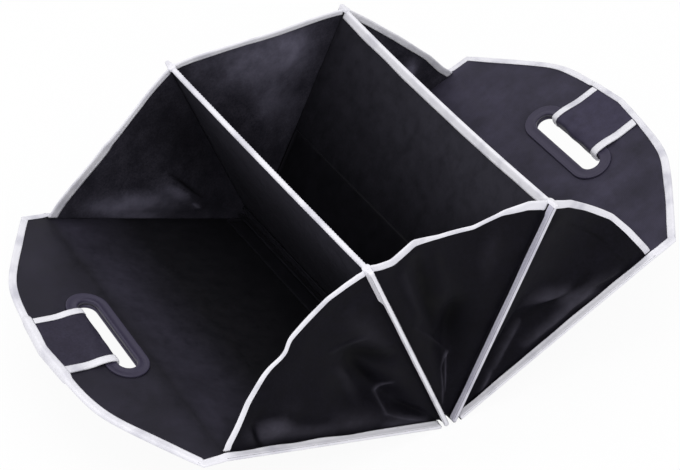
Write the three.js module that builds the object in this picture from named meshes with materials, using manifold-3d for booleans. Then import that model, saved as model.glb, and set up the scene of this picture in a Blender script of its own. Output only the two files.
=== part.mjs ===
// Collapsible car trunk organizer, set down half unfolded. Two stiff end panels and two stiff
// dividers spread like a fan from one narrow base. Cloth walls join them in front and behind,
// the floor is folded up between them, and every edge is bound in white tape.
// Millimetres, +Z up, X from the left end to the right end, front at -Y.
// The origin is on the ground under the middle of the object's box.

import * as THREE from 'three';
import Module from 'manifold-3d';
import { mergeVertices } from 'three/addons/utils/BufferGeometryUtils.js';

const wasm = await Module();
wasm.setup();

// Driving dimensions
const gap = 0.3;             // air between pieces that touch
const skin = 0.8;            // one cloth skin of a stiff panel
const board = 1.4;           // stiffening board between two skins
const wallCloth = 1.0;       // front and back walls, lined
const floorCloth = 0.9;
const tape = 0.9;            // white binding tape
const frontReach = 6.5;      // how far the tape reaches down a front rim
const backReach = 8;         // a back rim
const dividerReach = 7;      // and a divider's top edge

const panelHeight = 250;     // foot to rim
const wallSpacing = 362;     // front wall to back wall
const seamProud = 9;         // a panel's edges stand this far out past the walls
const seamStart = 4;         // the walls and their tapes begin this far above a panel's foot
const dividerSag = 4;        // a divider's top edge sinks this much in its middle

// End panel past the rim: straight edges, slanted shoulders and a nearly flat crown
const shoulder = 25.5;       // where a shoulder starts
const shoulderSlope = 0.7;
const flapHeight = 101;      // the crown in its middle
const crownSlope = 0.09;
const crownRound = 7;        // how softly shoulder and crown meet

const slotLength = 103;      // hand slot, in the cloth and board
const slotHeight = 22;
const slotRise = 27;         // middle of the slot past the rim
const ringBand = 12;         // width of the plastic grip ring around the slot
const ringThick = 2.2;       // one half of the ring
const ringLip = 0.6;         // the ring's hole is this much tighter than the slot, each side
const ringBevel = 0.6;
const strapWidth = 78;
const strapThick = 1.2;
const strapTapeReach = 4.5;
const strapTuck = 1.2;       // from the arch's edge to the strap's end under the tape
const strapBend = 1.5;       // cut corner where the strap turns into the slot
const strapLanding = 12;     // the strap comes down from the ring to the panel over this much

const footAir = 1.5;         // spare room between two panels' feet
const endStep = 1.2;         // and a little more before an end panel
const hemWidth = 9;          // floor hem that lies flat under each end panel
const floorInset = 6;        // the folded floor stops this far short of each wall
const foldHeight = 109;      // ridge of a floor that is folded once
const foldGap = 2.4;         // between the two leaves of that fold
const leanGap = 0.8;         // from that fold to the panel it leans on
const pleatHeight = 34;      // ridges of the floor that is folded in pleats
const pleatFoot = 14;        // its valleys, above the panels' feet

// How each panel leans, in degrees from upright, negative to the left. A flap past the rim
// bends by its own angle.
const leans = {
  left_end: { front: -72, back: -66.4, flap: -8 },
  divider_1: { front: -20.8, back: -21, flap: 0 },
  divider_2: { front: 25.6, back: 25.2, flap: 0 },
  right_end: { front: 64.8, back: 69, flap: 1 },
};

// Each cloth wall between two panels. lifts are the heights of its rim above the straight line
// between the panels, at the wall's inner columns. bow draws the cloth inwards towards the rim,
// and dent is the hollow where it is tucked in.
const wallColumns = [0, 0.05, 0.14, 0.26, 0.38, 0.5, 0.62, 0.74, 0.86, 0.95, 1];
const walls = [
  { name: 'front_wall_left', bay: 0, side: -1, bow: 12, dent: 18, lifts: [3, 6, 10, 10, 5, 12, 13, 15, 8] },
  { name: 'front_wall_middle', bay: 1, side: -1, bow: 8, dent: 14, lifts: [-2, -2, 8, 2, -2, -4, 2, 6, 3] },
  { name: 'front_wall_right', bay: 2, side: -1, bow: 14, dent: 12, lifts: [2, 6, 9, 10, 11, 12, 9, 5, 1] },
  { name: 'back_wall_left', bay: 0, side: 1, bow: 7, dent: 8, lifts: [2, 5, 8, 11, 13, 13, 12, 9, 4] },
  { name: 'back_wall_middle', bay: 1, side: 1, bow: 6, dent: 5, lifts: [2, 4, 5, 5, 4, 3, 2, 1, 0] },
  { name: 'back_wall_right', bay: 2, side: 1, bow: 9, dent: 6, lifts: [0, 2, 4, 5, 5, 4, 3, 1, 0] },
];
const dentAt = { across: 0.5, up: 0.42, wide: 0.24, tall: 0.2 };   // shares of a wall

// Sizes that follow
const panelThick = board + 2 * (gap + skin);
const edgeY = wallSpacing / 2 + seamProud;
const flangeOffset = panelThick / 2 + gap + wallCloth / 2;   // wall cloth sewn along a panel
const floorOffset = panelThick / 2 + gap + floorCloth / 2;   // floor cloth along a panel
const seamGap = wallCloth / 2 + gap + tape + 2 * gap;        // wall to the upright tape
const radians = (degrees) => THREE.MathUtils.degToRad(degrees);

// Feet: the dividers stand side by side with two leaves of floor cloth between them, and each
// end panel starts the same distance beyond its divider.
const footGap = 2 * floorCloth + 3 * gap + footAir;
const dividerFoot = (panelThick + footGap) / 2;
const endFoot = dividerFoot + panelThick / 2 + footGap + endStep;
const tallCorner = panelThick / 2 * Math.sin(radians(leans.left_end.front * -1));
const under = -tallCorner - gap - floorCloth / 2;            // middle of the cloth on the ground
function dividerDrop(lean) {
  const angle = Math.abs(radians(lean.front + lean.back) / 2);
  return under + (gap + floorCloth / 2) * Math.cos(angle) + floorOffset * Math.sin(angle);
}
const panels = [
  { name: 'left_end', lean: leans.left_end, x: -endFoot, z: 0, end: true },
  { name: 'divider_1', lean: leans.divider_1, x: -dividerFoot, z: dividerDrop(leans.divider_1) },
  { name: 'divider_2', lean: leans.divider_2, x: dividerFoot, z: dividerDrop(leans.divider_2) },
  { name: 'right_end', lean: leans.right_end, x: endFoot, z: 0, end: true },
];

// Materials
const finish = (color, roughness) => new THREE.MeshStandardMaterial({ color, roughness });
const blackCloth = finish('#1b1b20', 0.85);
const greyBoard = finish('#6d6a64', 0.9);
const whiteTape = finish('#e8e6f0', 0.6);
const gripPlastic = finish('#3a3942', 0.45);

// A point of a panel: y along it, r up from its foot, offset across it. The panel is flat
// cloth and board, turned from its front lean to its back lean and bent at the rim.
function onPanel(panel, y, r, offset) {
  const share = y / (2 * edgeY) + 0.5;
  const angle = radians(THREE.MathUtils.lerp(panel.lean.front, panel.lean.back, share));
  const bend = radians(panel.lean.flap);
  const low = Math.min(r, panelHeight);
  const high = r - low;
  const turned = r > panelHeight ? angle + bend : angle;
  const facing = r === panelHeight ? angle + bend / 2 : turned;
  return new THREE.Vector3(
    panel.x + low * Math.sin(angle) + high * Math.sin(turned) + offset * Math.cos(facing),
    y,
    panel.z + low * Math.cos(angle) + high * Math.cos(turned) - offset * Math.sin(facing),
  );
}

// Height of an end panel's arch past the rim: the lower of shoulder and crown, rounded between.
function archTop(y) {
  const slant = shoulder + shoulderSlope * (edgeY - Math.abs(y));
  const crown = flapHeight - crownSlope * Math.abs(y);
  return (slant + crown) / 2 - Math.hypot((slant - crown) / 2, crownRound);
}

// Height of a panel's top edge above its foot.
function topOf(panel, y) {
  return panel.end ? panelHeight + archTop(y) : panelHeight - dividerSag * (1 - (y / edgeY) ** 2);
}

// How far a wall's rim stands above the straight line between its panels.
function liftAt(wall, across) {
  const lifts = [0, ...wall.lifts, 0];
  const after = Math.max(1, wallColumns.findIndex((share) => share >= across));
  const share = (across - wallColumns[after - 1]) / (wallColumns[after] - wallColumns[after - 1]);
  return THREE.MathUtils.lerp(lifts[after - 1], lifts[after], share);
}

// A point of a cloth wall: across from its left panel to its right one, up from foot to rim.
function onWall(wall, across, up) {
  const y = wall.side * wallSpacing / 2;
  const r = seamStart + up * (panelHeight - seamStart);
  const left = onPanel(panels[wall.bay], y, r, flangeOffset);
  const right = onPanel(panels[wall.bay + 1], y, r, -flangeOffset);
  const point = left.lerp(right, across);
  const swell = Math.sin(Math.PI * across);
  const lift = liftAt(wall, across) * up ** 2;
  const reach = Math.hypot(point.x, point.z);
  const hollow = Math.exp(
    -(((across - dentAt.across) / dentAt.wide) ** 2) - ((up - dentAt.up) / dentAt.tall) ** 2,
  );
  point.x += lift * point.x / reach;
  point.z += lift * point.z / reach;
  point.y -= wall.side * swell ** 2 * (wall.bow * up + wall.dent * hollow);
  return point;
}

function wallNormal(wall, across, up) {
  const step = 0.002;
  const along = onWall(wall, across + step, up).sub(onWall(wall, across - step, up));
  const rising = onWall(wall, across, up + step).sub(onWall(wall, across, up - step));
  return along.cross(rising).normalize();
}

// A closed solid carried through stations. Each station holds two lines of points, near and
// far, which are the two faces of a sheet or the outside and inside of a folded tape. Both are
// split along the same diagonals, so that twisted pieces that lie together keep their gap.
function carried(stations, looped = false) {
  const rings = stations.map(({ near, far }) => [...near, ...far.toReversed()]);
  const around = rings[0].length;
  const at = (i, j) => (i % rings.length) * around + (j % around);
  const index = [];
  const quad = (a, b, c, d) => index.push(a, b, c, a, c, d);
  const steps = looped ? rings.length : rings.length - 1;
  for (let i = 0; i < steps; i += 1) {
    for (let j = 0; j < around; j += 1) {
      if (j < around / 2) quad(at(i, j), at(i + 1, j), at(i + 1, j + 1), at(i, j + 1));
      else quad(at(i + 1, j), at(i + 1, j + 1), at(i, j + 1), at(i, j));
    }
  }
  if (!looped) {
    const last = rings.length - 1;
    for (let j = 0; j < around / 2 - 1; j += 1) {
      quad(at(0, j), at(0, j + 1), at(0, around - 2 - j), at(0, around - 1 - j));
      quad(at(last, around - 1 - j), at(last, around - 2 - j), at(last, j + 1), at(last, j));
    }
  }
  const geometry = new THREE.BufferGeometry();
  const corners = rings.flat().flatMap((point) => point.toArray());
  geometry.setAttribute('position', new THREE.Float32BufferAttribute(corners, 3));
  geometry.setIndex(index);
  return facingOut(geometry);
}

// Turns a closed mesh right side out.
function facingOut(geometry) {
  const place = geometry.getAttribute('position');
  const index = Array.from(geometry.getIndex().array);
  const corner = (i) => new THREE.Vector3().fromBufferAttribute(place, index[i]);
  let volume = 0;
  for (let i = 0; i < index.length; i += 3) {
    volume += corner(i).dot(corner(i + 1).cross(corner(i + 2)));
  }
  if (volume < 0) {
    for (let i = 0; i < index.length; i += 3) {
      [index[i + 1], index[i + 2]] = [index[i + 2], index[i + 1]];
    }
    geometry.setIndex(index);
  }
  return geometry;
}

// A sheet of even thickness around a grid of points, with sharp corners kept between columns.
function sheet(columns, thickness) {
  const faceNormal = (i, j) => {
    const across = columns[i + 1][j + 1].clone().sub(columns[i][j]);
    return across.cross(columns[i][j + 1].clone().sub(columns[i + 1][j])).normalize();
  };
  const stripNormal = (i, j) => {
    const normal = new THREE.Vector3();
    if (j > 0) normal.add(faceNormal(i, j - 1));
    if (j < columns[i].length - 1) normal.add(faceNormal(i, j));
    return normal.normalize();
  };
  return carried(columns.map((column, i) => {
    const shifts = column.map((point, j) => {
      const before = stripNormal(Math.max(i - 1, 0), j);
      const after = stripNormal(Math.min(i, columns.length - 2), j);
      const scale = thickness / 2 / (1 + before.dot(after));
      return before.add(after).multiplyScalar(scale);
    });
    return {
      near: column.map((point, j) => point.clone().add(shifts[j])),
      far: column.map((point, j) => point.clone().sub(shifts[j])),
    };
  }));
}

// The outside and inside of a tape folded over an edge. place(depth, offset) gives a point at
// a depth in from the edge; plus and minus are the half thicknesses that the tape clears.
function foldedTape(place, reach, plus, minus) {
  return {
    near: [
      place(reach, plus + tape), place(-gap - tape, plus + tape),
      place(-gap - tape, -minus - tape), place(reach, -minus - tape),
    ],
    far: [place(reach, plus), place(-gap, plus), place(-gap, -minus), place(reach, -minus)],
  };
}

function steps(from, to, count) {
  return Array.from({ length: count + 1 }, (unused, i) => from + (to - from) * i / count);
}

const parts = new THREE.Group();
function add(name, geometry, material) {
  const mesh = new THREE.Mesh(geometry, material);
  mesh.name = name;
  parts.add(mesh);
}

// Joins and cuts
function toManifold(geometry) {
  const place = geometry.getAttribute('position');
  return new wasm.Manifold(new wasm.Mesh({
    numProp: 3,
    vertProperties: new Float32Array(place.array),
    triVerts: new Uint32Array(geometry.getIndex().array),
  }));
}

function fromManifold(solid) {
  const mesh = solid.getMesh();
  const geometry = new THREE.BufferGeometry();
  geometry.setAttribute('position', new THREE.BufferAttribute(mesh.vertProperties, 3));
  geometry.setIndex(new THREE.BufferAttribute(mesh.triVerts, 1));
  return geometry;
}

// A slot outline with round ends, centred on the origin.
function roundEnded(Kind, length, height) {
  const reach = (length - height) / 2;
  const outline = new Kind();
  outline.absarc(reach, 0, height / 2, -Math.PI / 2, Math.PI / 2);
  outline.absarc(-reach, 0, height / 2, Math.PI / 2, 3 * Math.PI / 2);
  return outline;
}

function extruded(shape, settings) {
  const geometry = new THREE.ExtrudeGeometry(shape, settings);
  geometry.deleteAttribute('normal');
  geometry.deleteAttribute('uv');
  return mergeVertices(geometry, 1e-4);
}

// Wraps flat geometry (x along the panel, y up from the slot's middle, z across) on a panel.
function wrapped(geometry, panel) {
  const place = geometry.getAttribute('position');
  for (let i = 0; i < place.count; i += 1) {
    const height = panelHeight + slotRise + place.getY(i);
    const point = onPanel(panel, place.getX(i), height, place.getZ(i));
    place.setXYZ(i, point.x, point.y, point.z);
  }
  return facingOut(geometry);
}

// Stiff panels: a board between two skins, all cut to one outline.
const strapSide = strapWidth / 2 + 2 * gap + 2 * tape;
const endColumns = [strapSide, strapSide + 6, 74, 92, 112, 148, wallSpacing / 2, edgeY];
const dividerColumns = steps(-edgeY, edgeY, 8);

function columnsOf(panel) {
  return panel.end ? [...endColumns.toReversed().map((y) => -y), 0, ...endColumns] : dividerColumns;
}

function panelRows(panel, y) {
  const body = steps(0, panel.end ? panelHeight : topOf(panel, y), panel.end ? 4 : 2);
  return panel.end ? [...body, ...steps(0, archTop(y), 3).slice(1).map((e) => panelHeight + e)] : body;
}

function layer(panel, low, high) {
  const geometry = carried(columnsOf(panel).map((y) => ({
    near: panelRows(panel, y).map((r) => onPanel(panel, y, r, high)),
    far: panelRows(panel, y).map((r) => onPanel(panel, y, r, low)),
  })));
  if (!panel.end) return geometry;
  const depth = 4 * panelThick;
  const slot = extruded(roundEnded(THREE.Shape, slotLength, slotHeight), { depth, curveSegments: 6 });
  slot.translate(0, 0, -depth / 2);
  return fromManifold(toManifold(geometry).subtract(toManifold(wrapped(slot, panel))));
}

for (const panel of panels) {
  const face = board / 2 + gap;
  const endSides = panel.x < 0 ? ['outer', 'inner'] : ['inner', 'outer'];
  const sides = panel.end ? endSides : ['left', 'right'];
  add(`${panel.name}_board`, layer(panel, -board / 2, board / 2), greyBoard);
  add(`${panel.name}_${sides[0]}_skin`, layer(panel, -face - skin, -face), blackCloth);
  add(`${panel.name}_${sides[1]}_skin`, layer(panel, face, face + skin), blackCloth);
}

// Front and back walls: cloth between two panels, turned outwards along each panel's edge.
const wallRows = steps(0, 1, 7);

function flange(wall, panel, offset) {
  const y = wall.side * edgeY;
  return wallRows.map((up) => onPanel(panel, y, seamStart + up * (panelHeight - seamStart), offset));
}

for (const wall of walls) {
  const columns = wallColumns.map((across) => wallRows.map((up) => onWall(wall, across, up)));
  columns.unshift(flange(wall, panels[wall.bay], flangeOffset));
  columns.push(flange(wall, panels[wall.bay + 1], -flangeOffset));
  add(wall.name, sheet(columns, wallCloth), blackCloth);

  const half = wallCloth / 2 + gap;
  const span = onWall(wall, 0, 1).distanceTo(onWall(wall, 1, 1));
  const start = (half + gap) / span;
  const tapeColumns = [start, ...wallColumns.slice(1, -1), 1 - start];
  add(`${wall.name}_rim_tape`, carried(tapeColumns.map((across) => {
    const normal = wallNormal(wall, across, 1);
    const place = (depth, offset) => onWall(wall, across, 1 - depth / (panelHeight - seamStart))
      .addScaledVector(normal, offset);
    return foldedTape(place, wall.side < 0 ? frontReach : backReach, half, half);
  })), whiteTape);
}

// Tape along the outline of an end panel, up the front edge, over the arch and down the back.
// It covers the strap's two ends on the crown.
const strapFlat = panelThick / 2 + 2 * gap + tape + strapThick / 2;   // strap on the panel
const pastSeam = panelHeight + 1;
function outlineOf(panel) {
  const upright = steps(seamStart, panelHeight, 6);
  const crossing = [pastSeam, pastSeam + seamProud, panelHeight + archTop(edgeY)];
  const front = [...upright, ...crossing].map((r) => new THREE.Vector2(-edgeY, r));
  const arch = columnsOf(panel).slice(1, -1).map((y) => new THREE.Vector2(y, topOf(panel, y)));
  const back = front.toReversed().map((point) => new THREE.Vector2(edgeY, point.y));
  return [...front, ...arch, ...back];
}

function inwardAt(line, i) {
  const turn = (a, b) => new THREE.Vector2(b.y - a.y, a.x - b.x).normalize();
  const before = turn(line[Math.max(i - 1, 0)], line[Math.max(i, 1)]);
  const after = turn(line[Math.min(i, line.length - 2)], line[Math.min(i + 1, line.length - 1)]);
  return before.clone().add(after).divideScalar(1 + before.dot(after));
}

for (const panel of panels.filter(({ end }) => end)) {
  const line = outlineOf(panel);
  const innerSide = panel.x < 0 ? 1 : -1;
  add(`${panel.name}_tape`, carried(line.map((point, i) => {
    const inward = inwardAt(line, i);
    const place = (depth, offset) => onPanel(
      panel, point.x + depth * inward.x, point.y + depth * inward.y, offset * innerSide,
    );
    const bare = panelThick / 2 + gap;
    const withWall = bare + wallCloth + gap;
    const withStrap = strapFlat + strapThick / 2 + gap;
    if (Math.abs(point.x) <= strapSide) return foldedTape(place, seamProud - seamGap, withStrap, withStrap);
    return foldedTape(place, seamProud - seamGap, point.y <= pastSeam ? withWall : bare, bare);
  })), whiteTape);
}

// Tapes of a divider: one over its top edge, one down each outer edge with both walls in it and
// closed over their rims.
for (const panel of panels.filter(({ end }) => !end)) {
  const bare = panelThick / 2 + gap;
  const withWalls = bare + wallCloth + gap;
  const topEnd = wallSpacing / 2 - seamGap;
  add(`${panel.name}_top_tape`, carried(steps(-topEnd, topEnd, 6).map((y) => {
    const place = (depth, offset) => onPanel(panel, y, topOf(panel, y) - depth, offset);
    return foldedTape(place, dividerReach, bare, bare);
  })), whiteTape);
  const reach = seamProud - seamGap;
  const lidStart = panelHeight + gap;
  for (const [side, word] of [[-1, 'front'], [1, 'back']]) {
    const placeAt = (r) => (depth, offset) => onPanel(panel, side * (edgeY - depth), r, offset);
    const folded = carried(steps(seamStart, lidStart + tape, 5).map(
      (r) => foldedTape(placeAt(r), reach, withWalls, withWalls),
    ));
    const lid = carried([lidStart, lidStart + tape].map((r) => {
      const line = (offset) => [reach, -gap - tape].map((depth) => placeAt(r)(depth, offset));
      return { near: line(withWalls + tape), far: line(-withWalls - tape) };
    }));
    add(`${panel.name}_${word}_tape`, fromManifold(toManifold(folded).add(toManifold(lid))), whiteTape);
  }
}

// Floor: one cloth that runs under every panel's foot and is folded up between them.
function floorLine(y) {
  const clear = gap + floorCloth / 2;
  const foot = (panel, side) => onPanel(panel, y, -clear, side * floorOffset);
  const between = (bay, across, r) => onPanel(panels[bay], y, r, floorOffset)
    .lerp(onPanel(panels[bay + 1], y, r, -floorOffset), across);
  const pleats = (bay) => {
    const top = pleatHeight;
    const low = pleatFoot;
    return [
      [0, 3], [0.01, top - 3], [0.06, top], [0.12, top - 3], [0.3, low + 1.5], [0.36, low],
      [0.42, low + 1.5], [0.46, top - 8], [0.52, top - 6], [0.58, top - 8], [0.62, low + 1.5],
      [0.68, low], [0.74, low + 1.5], [0.86, top - 5], [0.92, top - 2], [0.98, top - 5], [1, 3],
    ].map(([across, r]) => between(bay, across, r));
  };
  const fold = (bay) => {
    const beside = (r, away) => {
      const left = between(bay, 0, r);
      const right = between(bay, 1, r);
      return right.lerp(left, Math.min(away / left.distanceTo(right), 1));
    };
    const heights = [3, 14, foldHeight * 0.4, foldHeight * 0.75, foldHeight];
    return [
      ...heights.map((r) => beside(r, foldGap + leanGap)), beside(foldHeight + 1, foldGap / 2 + leanGap),
      ...heights.toReversed().map((r) => beside(r, leanGap)),
    ];
  };
  const hemStart = foot(panels[0], 1);
  const hemEnd = foot(panels[3], -1);
  const onGround = (x) => new THREE.Vector3(x, y, under);
  const lowCorner = floorOffset * Math.cos(radians(leans.left_end.front));
  return [
    onGround(-endFoot - hemWidth), onGround(-endFoot - lowCorner / 2), hemStart, ...pleats(0),
    foot(panels[1], -1), foot(panels[1], 1), ...fold(1),
    foot(panels[2], -1), foot(panels[2], 1), ...fold(2),
    hemEnd, onGround(endFoot + lowCorner / 2), onGround(endFoot + hemWidth),
  ];
}
const floorEnd = wallSpacing / 2 - floorInset;
const floorLines = steps(-floorEnd, floorEnd, 5).map(floorLine);
const floorColumns = floorLines[0].map((unused, i) => floorLines.map((line) => line[i]));
add('floor_cloth', sheet(floorColumns, floorCloth), blackCloth);

// Grips: a plastic ring in two halves around the slot, and a strap from under the outline's tape,
// over the ring and through the slot to under the tape on the other face, taped on both edges.
const ringHole = { length: slotLength - 2 * ringLip, height: slotHeight - 2 * ringLip };

function ringHalf(panel, side) {
  const shape = roundEnded(THREE.Shape, ringHole.length + 2 * ringBand, ringHole.height + 2 * ringBand);
  shape.holes.push(roundEnded(THREE.Path, ringHole.length, ringHole.height));
  const geometry = extruded(shape, {
    depth: ringThick - 2 * ringBevel, curveSegments: 6, bevelEnabled: true, bevelSegments: 1,
    bevelThickness: ringBevel, bevelSize: ringBevel, bevelOffset: -ringBevel,
  });
  geometry.translate(0, 0, ringBevel + panelThick / 2 + gap);
  if (side < 0) geometry.scale(1, 1, -1);
  return wrapped(geometry, panel);
}

// The strap's way, in offset across the panel and height past the rim.
function strapWay(y, tuck) {
  const clear = 2 * gap + tape + strapThick / 2;
  const wide = panelThick / 2 + gap + ringThick + clear;
  const low = slotRise + ringHole.height / 2 - clear;
  const ringTop = slotRise + ringHole.height / 2 + ringBand;
  const right = [
    [wide - strapBend, low], [wide, low + strapBend], [wide, ringTop + strapThick],
    [strapFlat, ringTop + strapLanding], [strapFlat, archTop(y) - tuck],
  ];
  return [...right.toReversed(), ...right.map(([offset, e]) => [-offset, e])];
}

function onStrap(panel, way, i, y, out) {
  const points = way.map(([offset, e]) => new THREE.Vector2(offset, e));
  const outward = inwardAt(points, i).negate();
  const { x: offset, y: e } = points[i].addScaledVector(outward, out);
  return onPanel(panel, y, panelHeight + e, offset);
}

for (const panel of panels.filter(({ end }) => end)) {
  const innerSide = panel.x < 0 ? 1 : -1;
  add(`${panel.name}_grip_inner_half`, ringHalf(panel, innerSide), gripPlastic);
  add(`${panel.name}_grip_outer_half`, ringHalf(panel, -innerSide), gripPlastic);

  const around = strapWay(0, strapTuck).map((unused, i) => i);
  const across = steps(-strapWidth / 2, strapWidth / 2, 4);
  add(`${panel.name}_strap`, carried(around.map((i) => ({
    near: across.map((y) => onStrap(panel, strapWay(y, strapTuck), i, y, strapThick / 2)),
    far: across.map((y) => onStrap(panel, strapWay(y, strapTuck), i, y, -strapThick / 2)),
  }))), blackCloth);
  const short = seamProud - seamGap + 2 * gap;
  for (const [side, word] of [[-1, 'front'], [1, 'back']]) {
    add(`${panel.name}_strap_${word}_tape`, carried(around.map((i) => {
      const place = (depth, offset) => {
        const y = side * (strapWidth / 2 - depth);
        return onStrap(panel, strapWay(y, short), i, y, offset);
      };
      return foldedTape(place, strapTapeReach, strapThick / 2 + gap, strapThick / 2 + gap);
    })), whiteTape);
  }
}

// The origin goes under the middle of the object's box.
const box = new THREE.Box3().setFromObject(parts);
const middle = box.getCenter(new THREE.Vector3());
parts.position.set(-middle.x, -middle.y, -box.min.z);
const organizer = new THREE.Group();
organizer.add(parts);

export default organizer;
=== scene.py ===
import bpy
import numpy as np
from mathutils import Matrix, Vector


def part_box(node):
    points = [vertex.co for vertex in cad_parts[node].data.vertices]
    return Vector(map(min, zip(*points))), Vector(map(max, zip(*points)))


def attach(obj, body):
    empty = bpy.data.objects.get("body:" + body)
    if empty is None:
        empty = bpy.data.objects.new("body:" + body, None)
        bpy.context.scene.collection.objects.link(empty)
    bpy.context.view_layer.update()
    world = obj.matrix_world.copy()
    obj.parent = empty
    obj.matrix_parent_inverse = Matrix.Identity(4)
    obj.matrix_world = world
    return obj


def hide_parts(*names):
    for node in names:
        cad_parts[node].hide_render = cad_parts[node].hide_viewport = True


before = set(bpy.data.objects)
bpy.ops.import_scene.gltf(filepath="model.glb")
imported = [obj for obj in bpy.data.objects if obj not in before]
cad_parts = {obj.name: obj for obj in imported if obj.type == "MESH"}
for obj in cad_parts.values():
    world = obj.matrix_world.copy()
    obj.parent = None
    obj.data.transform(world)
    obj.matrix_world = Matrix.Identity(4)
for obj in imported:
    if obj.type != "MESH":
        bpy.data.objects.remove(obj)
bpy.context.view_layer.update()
print("frame loaded:", len(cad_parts), "nodes")

# Sizes that the cloth has to keep to, in millimetres, as the frame has them
body = {
    "gap": 0.3, "skin": 0.8, "board": 1.4, "wallCloth": 1.0, "floorCloth": 0.9, "tape": 0.9,
    "rim": 250, "wallSpacing": 362, "proud": 9, "seamStart": 4, "dividerSag": 4,
    "pressed": 0.4, "pressFrom": 1, "pressTo": 4, "footAir": 1.5, "endStep": 1.2,
    "shoulder": 25.5, "shoulderSlope": 0.7, "flapHeight": 101, "crownSlope": 0.09, "crownRound": 7,
}
gap, rim, seamStart, tapeThick = body["gap"], body["rim"], body["seamStart"], body["tape"]
panelThick = body["board"] + 2 * (gap + body["skin"])
wallY = body["wallSpacing"] / 2
edgeY = wallY + body["proud"]
flangeOffset = panelThick / 2 + gap + body["wallCloth"] / 2
floorOffset = panelThick / 2 + gap + body["floorCloth"] / 2
seamGap = body["wallCloth"] / 2 + gap + tapeThick + 2 * gap
seamReach = body["proud"] - seamGap
footGap = 2 * body["floorCloth"] + 3 * gap + body["footAir"]
dividerFoot = (panelThick + footGap) / 2
endFoot = dividerFoot + panelThick / 2 + footGap + body["endStep"]
lowLean = np.radians(72)    # of the left end panel in front, the one nearest to the ground
underFloor = -panelThick / 2 * np.sin(lowLean) - gap - body["floorCloth"] / 2

# How each panel leans from upright at the front and at the back, and how its flap bends
panels = [
    {"name": "left_end", "front": -72, "back": -66.4, "flap": -8, "x": -endFoot, "z": 0,
     "end": True},
    {"name": "divider_1", "front": -20.8, "back": -21, "flap": 0, "x": -dividerFoot, "end": False},
    {"name": "divider_2", "front": 25.6, "back": 25.2, "flap": 0, "x": dividerFoot, "end": False},
    {"name": "right_end", "front": 64.8, "back": 69, "flap": 1, "x": endFoot, "z": 0,
     "end": True},
]
for panel in panels[1:3]:
    lean = abs(np.radians(panel["front"] + panel["back"]) / 2)
    panel["z"] = (underFloor + (gap + body["floorCloth"] / 2) * np.cos(lean)
                  + floorOffset * np.sin(lean))


def smoothStep(value, start, end):
    # 0 before start, 1 after end, 3t^2 - 2t^3 between them
    t = np.clip((value - start) / (end - start), 0, 1)
    return t * t * (3 - 2 * t)


def onPanel(panel, y, r, offset):
    # A point of a stiff panel. The lean turns evenly from front to back, r goes up that lean and
    # past the rim up the flap's own, and offset steps across, square to the lean. Out past the
    # walls the seam is pressed flat: every layer draws in by a share.
    y, r, offset = np.broadcast_arrays(*(np.asarray(v, float) for v in (y, r, offset)))
    offset = offset * (1 - body["pressed"] * smoothStep(
        np.abs(y), wallY + body["pressFrom"], wallY + body["pressTo"]))
    lean = np.radians(panel["front"] + (panel["back"] - panel["front"]) * (y / (2 * edgeY) + 0.5))
    bend = np.radians(panel["flap"])
    low = np.minimum(r, rim)
    high = r - low
    facing = lean + bend * smoothStep(r, rim - 4, rim + 4)
    return np.stack([
        panel["x"] + low * np.sin(lean) + high * np.sin(lean + bend) + offset * np.cos(facing),
        y,
        panel["z"] + low * np.cos(lean) + high * np.cos(lean + bend) - offset * np.sin(facing),
    ], -1)


def archTop(y):
    # Height of the arch past the rim: the lower of a slanted shoulder and a nearly flat crown,
    # (a + b) / 2 - sqrt(((a - b) / 2)^2 + round^2)
    slant = body["shoulder"] + body["shoulderSlope"] * (edgeY - np.abs(y))
    crown = body["flapHeight"] - body["crownSlope"] * np.abs(y)
    return (slant + crown) / 2 - np.hypot((slant - crown) / 2, body["crownRound"])


def topOf(panel, y):
    # Height of a panel's top edge: the arch on an end, a shallow sag as a parabola on a divider
    if panel["end"]:
        return rim + archTop(y)
    return rim - body["dividerSag"] * (1 - (y / edgeY) ** 2)


# The frame's own corner gives the step from the foot of the fan to the frame. The frame's board
# isn't pressed at its sides, so the press is divided out.
boardHalf = body["board"] / 2 / (1 - body["pressed"])
boardEnds = np.array([[-edgeY], [edgeY]])
boardCorners = np.stack([
    onPanel(panels[1], boardEnds, np.array([[0, rim]]), side * boardHalf) for side in (-1, 1)])
boardLow, boardHigh = (np.array(corner) * 1000 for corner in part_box("divider_1_board"))
toFrame = np.array([
    boardLow[0] - boardCorners[..., 0].min(),
    (boardLow[1] + boardHigh[1]) / 2,
    boardHigh[2] - boardCorners[..., 2].max(),
])
print("foot of the fan at", np.round(toFrame, 2).tolist(), "mm")


def runOf(path):
    # How long a path is up to each of its points
    return np.concatenate([[0], np.cumsum(np.linalg.norm(np.diff(path, axis=0), axis=1))])


# Mesh makers
def gridFaces(rows, columns, wrapRows=False, wrapColumns=False):
    # The four corners of each quad between neighbouring points of a grid
    i = np.arange(rows if wrapRows else rows - 1)[:, None]
    j = np.arange(columns if wrapColumns else columns - 1)[None, :]
    across, below = (j + 1) % columns, (i + 1) % rows
    quads = [i * columns + j, below * columns + j, below * columns + across, i * columns + across]
    return np.stack(np.broadcast_arrays(*quads), -1).reshape(-1, 4)


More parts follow.
